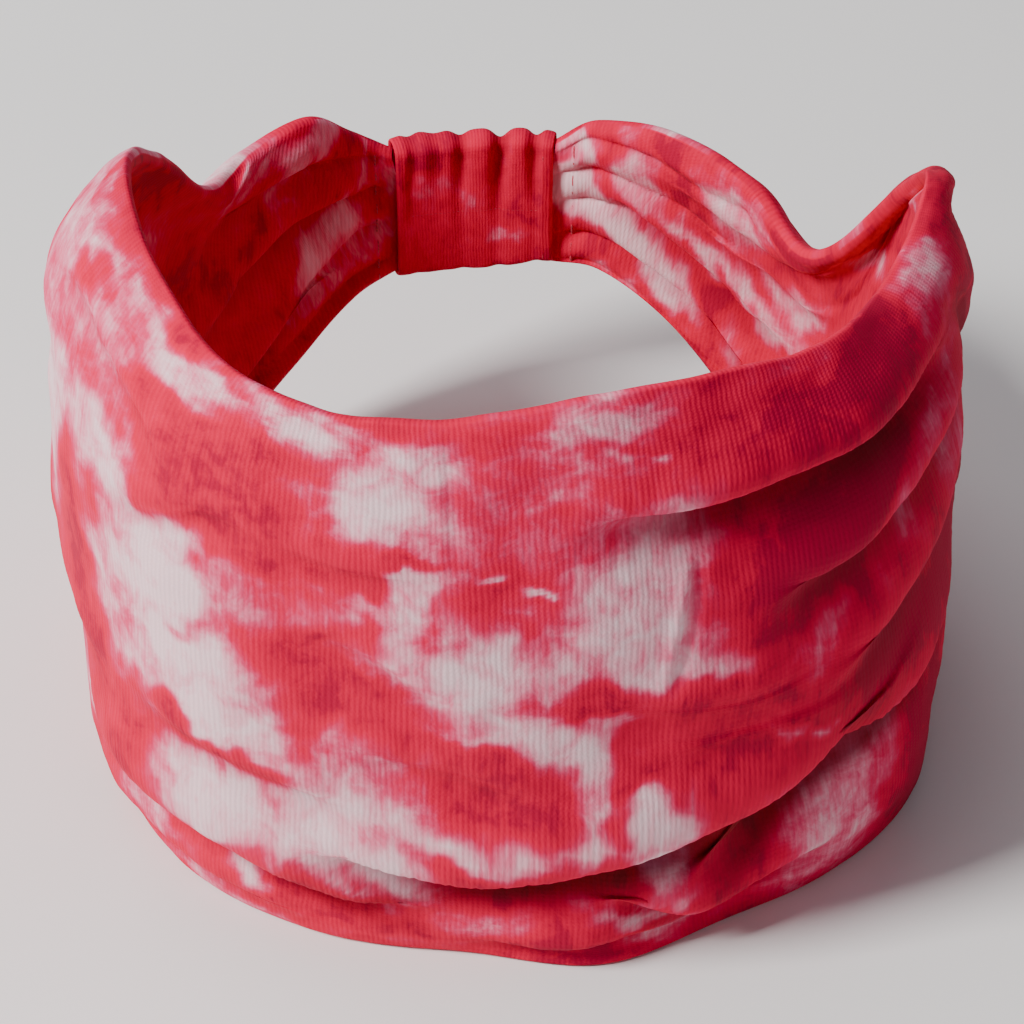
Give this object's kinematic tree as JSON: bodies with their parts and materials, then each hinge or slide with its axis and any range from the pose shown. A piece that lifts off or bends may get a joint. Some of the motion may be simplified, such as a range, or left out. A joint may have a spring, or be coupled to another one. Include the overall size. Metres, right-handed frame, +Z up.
{
  "type": "wide knit headband",
  "caption": "Wide stretch headband: a tie-dyed knit tube that stands as a ring, gathered at the back into a ruched casing over flat elastic.",
  "frame": {"origin": "centre of the standing ring's footprint, on the floor", "axes": "+Z up, +Y towards the gathered back, +X across the ring"},
  "size_m": [0.1638, 0.1644, 0.1201],
  "materials": {
    "band_jersey": "matt cotton jersey, tie-dyed crimson over pale pink, fine upright wales",
    "casing_jersey": "the same jersey, mostly crimson, shirred into upright ruffles",
    "elastic": "white woven elastic",
    "thread": "spun polyester sewing thread, crimson"
  },
  "bodies": {
    "band": {"band_tube": "band_jersey", "band_closing_thread": "thread"},
    "back": {"casing_tube": "casing_jersey", "casing_closing_thread": "thread", "elastic_band": "elastic", "left_joint_thread": "thread", "right_joint_thread": "thread", "left_gathering_thread": "thread", "right_gathering_thread": "thread"}
  },
  "joints": [
    {"name": "back_stretch", "type": "slide", "parent": "band", "child": "back", "axis": [0, 1, 0], "range_m": [0, 0.035], "stiffness_N_per_m": 120, "deforming": ["band_tube"]}
  ]
}
